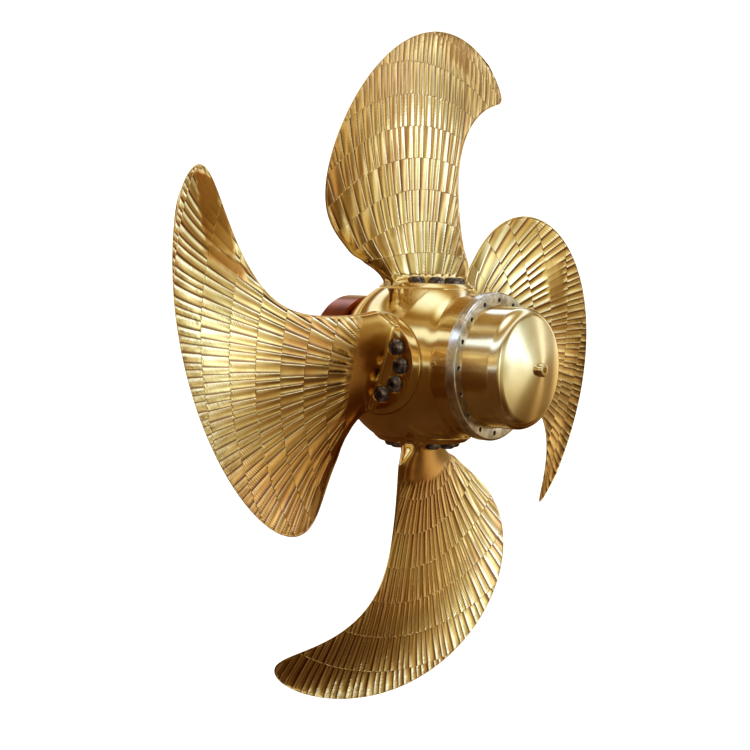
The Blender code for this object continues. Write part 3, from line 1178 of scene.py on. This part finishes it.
    def skin(self, milling: Milling) -> Item:
        """Roll a flat grid round the blade's sections, with the cutter's grooves in both faces.

        Args:
            milling: the grooves.

        Returns:
            A closed skin in the blade's own frame.
        """
        steps = self.across_steps()
        share = np.concatenate([steps, steps[::-1][1:]])
        side = np.concatenate([np.full(len(steps), -1.0), np.full(len(steps) - 1, 1.0)])
        t, share = np.meshgrid(self.rows(milling.borders()), share, indexing="ij")
        side = np.broadcast_to(side, t.shape)
        rise = t * self.span
        leading, trailing = self.edges(t)
        half = (leading - trailing) / 2
        along = (leading + trailing) / 2 + half * share
        round_off = np.maximum(0, 1 - share ** 2)
        belly = round_off ** (0.5 - self.root_bluntness * (1 - ease(rise / self.blunt_height)))
        bulge = 2 * self.camber * np.clip(rise / self.camber_height, 0, 1) * half * round_off
        radius = self.face + rise
        to_edge = np.minimum(half * (1 - np.abs(share)), (self.tip_radius - radius) * self.tip_rest)
        faces = zip(*(milling.cut(along, radius, to_edge, seed) for seed in (1.0, 2.0)))
        deep, count, sharp, stain = (np.where(side < 0, aft, fore) for aft, fore in faces)
        points = self.place(t, along, bulge + side * (self.half_thickness(t) * belly - deep))
        height, width = t.shape
        bpy.ops.object.select_all(action="DESELECT")
        bpy.ops.mesh.primitive_grid_add(x_subdivisions=width - 1, y_subdivisions=height - 1, size=1)
        item = bpy.context.object
        item.data.vertices.foreach_set("co", points.reshape(-1).astype(np.float32))
        # the tarnish attribute carries the patches' tarnish and the painted shade at the root
        for name, values in ((GROOVE_COUNT, count), (GROOVE_SHARPNESS, sharp), (TARNISH_AND_ROOT_SHADE, stain)):
            layer = item.data.attributes.new(name, "FLOAT", "POINT")
            layer.data.foreach_set("value", values.reshape(-1).astype(np.float32))
        with editing(item, "EDGE"):
            bpy.ops.mesh.select_all(action="SELECT")
            bpy.ops.mesh.remove_doubles(threshold=0.00001)
            bpy.ops.mesh.select_all(action="DESELECT")
            bpy.ops.mesh.select_non_manifold(extend=False, use_wire=False, use_multi_face=False,
                                             use_non_contiguous=False, use_verts=False)
            bpy.ops.mesh.fill_holes(sides=0)
            face_outwards()
        return item


@dataclass
class BladeBolt:
    """A socket-headed cap screw, standing on its seat at height 0."""

    head_radius: float = 0.029
    head_height: float = 0.031
    rounding: float = 0.016
    foot_chamfer: float = 0.001
    shank_radius: float = 0.0195
    reach: float = 0.050
    socket_radius: float = 0.0120
    socket_depth: float = 0.014
    pattern: Item | None = None

    def build(self) -> None:
        """Turn the screw with an eased head and sink its hexagon socket."""
        top = GAP + self.head_height
        profile = [(0, top)] + arc(self.head_radius - self.rounding, top - self.rounding, self.rounding, 90, 0, 6)
        profile += [(self.head_radius, GAP + self.foot_chamfer), (self.head_radius - self.foot_chamfer, GAP),
                    (self.shank_radius, GAP), (self.shank_radius, -self.reach), (0, -self.reach)]
        self.pattern = turned(profile, 40, "Z")
        carve(self.pattern, rod(self.socket_radius, top - self.socket_depth, top + OVERRUN, 6, Matrix()))
        smooth(self.pattern)

    def put_away(self) -> None:
        """Remove the pattern once its copies stand."""
        bpy.data.objects.remove(self.pattern, do_unlink=True)


@dataclass
class Blade:
    """A blade cast in one with its palm, bolted down through eight pockets.

    `long_ease` and `short_ease` are the legs of the palm's small bevels. Each pocket widens by `pocket_flare` over
    `flare_height`, which ends `flare_clear` above the palm's face, and has a dome in the blade's fillet.
    """

    name: BladeName
    milling: Milling
    form: BladeForm = field(default_factory=BladeForm)
    base: float = 0.2623
    palm_radius: float = 0.176
    palm_edge: float = 0.006
    palm_chamfer: float = 0.018
    rim_inset: float = 0.003
    rim_rounding: float = 0.006
    long_ease: float = 0.0012
    short_ease: float = 0.0008
    bolt_circle: float = 0.108
    bolt_angles: Sequence[float] = (-54, -18, 18, 54, 126, 162, 198, 234)
    spot_depth: float = 0.008
    pocket_radius: float = 0.031
    pocket_flare: float = 0.002
    flare_height: float = 0.0025
    flare_clear: float = 0.0005
    pocket_height: float = 0.022
    pocket_dome: float = 0.012
    hole_radius: float = 0.0205
    drill_depth: float = 0.05

    def bolt_places(self) -> list[Matrix]:
        """Where the blade's bolts stand in its own frame.

        Returns:
            One place for each bolt, on its seat.
        """
        seat = self.form.face - self.spot_depth
        found = []
        for angle in self.bolt_angles:
            turn = math.radians(angle - self.form.pitches[0] - 90)
            spot = Matrix.Translation((self.bolt_circle * math.cos(turn), self.bolt_circle * math.sin(turn), seat))
            found.append(spot @ Matrix.Rotation(turn, 4, "Z"))
        return found

    def palm(self) -> Item:
        """Turn the palm with its broad chamfer and eased rims.

        Returns:
            The palm in the blade's own frame.
        """
        face, top, foot = self.form.face, self.base + self.palm_edge, self.base
        rim = self.palm_radius - self.palm_chamfer - self.rim_inset
        slope = math.degrees(math.atan2(face - top, self.palm_chamfer))
        profile = [(0, face), (rim, face)]
        profile += arc(rim, face - self.rim_rounding, self.rim_rounding, 90, 90 - slope, 4)[1:]
        radius, ease_off = self.palm_radius, self.short_ease
        profile += [(radius - self.long_ease, top + self.long_ease), (radius, top - ease_off),
                    (radius, foot + ease_off), (radius - ease_off, foot), (0, foot)]
        return turned(profile, 128, "Z")

    def casting(self) -> Item:
        """Join the blade's skin to its palm and bore the pockets and holes.

        Returns:
            The blade at its place.
        """
        item = self.form.skin(self.milling)
        carve(item, self.palm(), "UNION")
        wide, lip = self.pocket_radius + self.pocket_flare, self.spot_depth + self.flare_clear
        profile = [(wide * math.sin(a), self.pocket_height + self.pocket_dome * math.cos(a))
                   for a in (QUARTER * step / 8 for step in range(9))]
        profile += [(wide, lip), (self.pocket_radius, lip - self.flare_height), (self.pocket_radius, 0),
                    (self.hole_radius, 0), (self.hole_radius, -self.drill_depth), (0, -self.drill_depth)]
        cutter = turned(profile, 40, "Z")
        cutters = [copy_of(cutter, "pocket", place) for place in self.bolt_places()]
        bpy.data.objects.remove(cutter, do_unlink=True)
        carve(item, joined(cutters))
        smooth(item, 35)
        return settle(item, "bronze_" + self.name.body, self.name.place)

    def build(self, bolt: BladeBolt) -> None:
        """Make the blade and its bolts, and dress its hidden crank disc.

        Args:
            bolt: the bolt that is copied to each seat.
        """
        word = self.name.name.lower()
        fit(self.casting(), MILLED, self.name.body, "bronze", "blade_" + word)
        for number, place in enumerate(self.bolt_places(), 1):
            piece = copy_of(bolt.pattern, f"cap_screw_{word}_{number}", self.name.place @ place)
            fit(piece, BLACK_STEEL, self.name.body, "steel", f"blade_bolt_{word}_{number}", mirrored=False)
        BLACK_STEEL.put_on(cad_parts["crank_disc_" + word])


@dataclass
class PhotoCamera:
    """The camera where the photographer stood: to port of the shaft, behind it and slightly above.

    Its angles are in degrees, its distance and offsets from the hub in metres.
    """

    azimuth: float = 51.786
    elevation: float = 3.468
    roll: float = 1.828
    distance: float = 5.2685
    aside: float = -0.18118
    above: float = -0.0479
    focal_pixels: float = 1452.77
    picture_pixels: float = 750

    def build(self) -> None:
        """Place the camera, with its roll and its offset from the hub."""
        az, el, roll = (math.radians(a) for a in (self.azimuth, self.elevation, self.roll))
        ahead = Vector((math.sin(az) * math.cos(el), math.cos(az) * math.cos(el), -math.sin(el)))
        level = Vector((math.cos(az), -math.sin(az), 0))
        upright = level.cross(ahead)
        across = math.cos(roll) * level + math.sin(roll) * upright
        up = math.cos(roll) * upright - math.sin(roll) * level
        data = bpy.data.cameras.new("photo_camera")
        data.sensor_width = 36
        data.lens = data.sensor_width * self.focal_pixels / self.picture_pixels
        data.clip_end = 100
        item = bpy.data.objects.new("photo_camera", data)
        item.matrix_world = Matrix((across, up, -ahead)).transposed().to_4x4()
        item.location = SPINDLE_CROSSING - self.distance * ahead + self.aside * across + self.above * up
        bpy.context.scene.collection.objects.link(item)
        bpy.context.scene.camera = item


@dataclass
class Studio:
    """A pale floor that runs up into a curved wall, a soft box overhead, and the room that the bronze mirrors.

    The room's stops are elevations in degrees, the pillars' are azimuths, where 0 is aft and 90 starboard.
    """

    floor: float = -1.42
    floor_radius: float = 11.0
    cove: float = 5.0
    wall: float = 6.0
    box_height: float = 4.6
    box_width: float = 4.4
    box_radiance: float = 1.2
    strength: float = 3.5
    open_side: float = 45
    open_share: Sequence[float] = (0.05, 0.45)
    pillar_tops: Sequence[float] = (24, 32)
    open_stops: Stops = (
        (-90, "#533e24"), (-60, "#574027"), (-45, "#432e19"), (-33, "#4c351e"), (-27, "#5a452b"), (-21, "#6f593b"),
        (-15, "#8e7b5a"), (-10, "#a99a7b"), (-4, "#b5ac95"), (0, "#c5c5b5"), (2.5, "#e6f2fe"), (8, "#e6f2fe"),
        (13, "#d3dee6"), (18, "#babaaf"), (23, "#92866c"), (30, "#5f4e36"), (33, "#5f4e33"), (37, "#a3a6aa"),
        (45, "#a3a6aa"), (50, "#6c5c3d"), (58, "#71613f"), (66, "#807150"), (72, "#a3a6a3"), (80, "#b6c4d5"))
    shut_stops: Stops = (
        (-90, "#332112"), (-60, "#2d1c0b"), (-45, "#301d0a"), (-8, "#331e0b"), (-2, "#412c16"), (0, "#a3adb6"),
        (2.5, "#9ca3a6"), (4, "#715f38"), (11, "#715c33"), (14.5, "#9c8f6c"), (18, "#917c53"), (20, "#4d3613"),
        (22, "#999177"), (24, "#4d3613"), (31, "#59411e"), (35, "#b0bed0"), (44, "#b0bed0"), (48, "#614d27"),
        (51, "#5f4b27"), (54, "#80714d"), (58, "#59431e"), (64, "#5f4923"), (68, "#7c6c49"), (73, "#9ca39c"),
        (80, "#b6c6e3"))
    pillars: Stops = (
        (-34, "#7b6f55"), (-16, "#8e8570"), (-13, "#d8d8d4"), (-6, "#d8d8d4"), (-3, "#9c9582"), (29, "#9c9582"),
        (32, "#dae0e6"), (42, "#dae0e6"), (46, "#908770"), (56, "#86755f"), (61, "#86755f"), (64, "#d0c4ac"),
        (68, "#d0c4ac"), (71, "#86755f"), (80, "#78674f"), (85, "#d4c09c"), (91, "#d4c09c"), (95, "#74603f"),
        (112, "#6c5636"), (120, "#6c5636"))

    def backdrop(self) -> None:
        """Spin the floor and its wall in one sweep."""
        profile = [(0, self.floor), (self.floor_radius, self.floor)]
        profile += arc(self.floor_radius, self.floor + self.cove, self.cove, -90, 0, 12)[1:]
        profile += [(self.floor_radius + self.cove, self.floor + self.cove + self.wall)]
        item = turned(profile, 96, "Z")
        smooth(item)
        settle(item, "studio_floor", AT_HUB)
        PAINT.put_on(item)
        item.visible_glossy = False
        item.visible_shadow = False

    def overhead(self) -> None:
        """Hang a square soft box over the hub; the bronze doesn't mirror it."""
        data = bpy.data.lights.new("overhead", "AREA")
        data.shape = "RECTANGLE"
        data.size = data.size_y = self.box_width
        data.energy = self.box_radiance * self.box_width ** 2 * math.pi
        item = bpy.data.objects.new("overhead", data)
        item.location = SPINDLE_CROSSING + Vector((0, 0, self.box_height))
        item.visible_camera = False
        item.visible_glossy = False
        bpy.context.scene.collection.objects.link(item)

    def room(self) -> None:
        """Fill the air with the room: walls and windows on its open side, behind pillars, and a darker shut side."""
        world = bpy.data.worlds.new("studio_air")
        world.use_nodes = True
        wiring = Wiring(world.node_tree, world.node_tree.nodes["Background"])
        towards = wiring.add("TexCoord").outputs["Generated"]
        x, y, z = wiring.add("SeparateXYZ", {"Vector": towards}).outputs
        height = wiring.calc("ARCSINE", z)
        around = wiring.calc("ARCTAN2", x, wiring.calc("MULTIPLY", y, -1.0))
        upwards = wiring.stretch(height, -QUARTER, QUARTER)
        wide = wiring.ramp(upwards, self.open_stops, 180)
        posts = wiring.ramp(wiring.stretch(around, -math.pi, math.pi), self.pillars, 360)
        above = wiring.stretch(height, *(math.radians(angle) for angle in self.pillar_tops), "SMOOTHSTEP")
        lit = wiring.mix(above, wiring.mix(1.0, wide, posts, "MULTIPLY"), wide)
        middle = math.radians(self.open_side)
        facing = wiring.add("VectorMath", {0: towards, 1: (math.sin(middle), -math.cos(middle), 0)},
                            operation="DOT_PRODUCT").outputs["Value"]
        share = wiring.stretch(facing, *self.open_share, "SMOOTHSTEP")
        colour = wiring.mix(share, wiring.ramp(upwards, self.shut_stops, 180), lit)
        wiring.feed({"Color": colour, "Strength": self.strength})
        bpy.context.scene.world = world
        bpy.context.scene.view_settings.view_transform = "Standard"

    def build(self) -> None:
        """Set up the floor, the room and the light."""
        self.backdrop()
        self.room()
        self.overhead()


MILLINGS = {
    BladeName.TOP: Milling(0.050, 0.100, 0.035, 0.395, 0.1125, start=0.300, patches=(
        SmoothPatch(-0.240, 1.165, 0.170, 0.075, stain=0.55, smoothed=0.55, fade=0.8),)),
    BladeName.PORT: Milling(0.025, 0.200, 0.034, 0.435, 0.1125, narrowing=0.04, curl=1.8, patches=(
        SmoothPatch(-0.45, 1.100, 0.070, 0.050, slope=0.4, lean=0.4),
        SmoothPatch(-0.580, 1.165, 0.050, 0.032, slope=0.4, lean=0.4),
        SmoothPatch(-0.335, 1.045, 0.022, 0.080, slope=0.5),
        SmoothPatch(0.45, 0.620, 0.17, 0.08, stain=0.5, smoothed=0.5, fade=0.8),
        SmoothPatch(0.48, 0.800, 0.20, 0.38, stain=0.45, smoothed=0))),
    BladeName.BOTTOM: Milling(-0.050, 0.000, 0.031, 0.500, 0.1260, depth=0.0026, start=0.430, root_painted_shade=0.3),
    BladeName.STARBOARD: Milling(0.060, 0.250, 0.027, 0.420, 0.1180, depth=0.0019, patches=(
        SmoothPatch(0.32, 0.930, 0.10, 0.06, stain=0.1, fade=0.6),)),
}


def main() -> None:
    """Build the propeller and its studio, and report each piece."""
    logging.basicConfig(level=logging.INFO, format="%(name)s: %(message)s")
    PhotoCamera().build()
    Studio().build()
    LOG.info("studio and camera stand")
    hub = Hub()
    hub.build()
    LOG.info("hub with its barrel plug")
    ShaftFlange().build()
    LOG.info("shaft flange")
    aft_face = hub.barrel_end - GAP
    AnodeRing(aft_face).build()
    LOG.info("zinc ring and its screws")
    HubCap(aft_face).build()
    LOG.info("cap and tip plug")
    bolt = BladeBolt()
    bolt.build()
    for name, milling in MILLINGS.items():
        Blade(name, milling).build(bolt)
        LOG.info("%s with its bolts and crank disc", name.body)
    bolt.put_away()


if __name__ == "__main__":
    main()
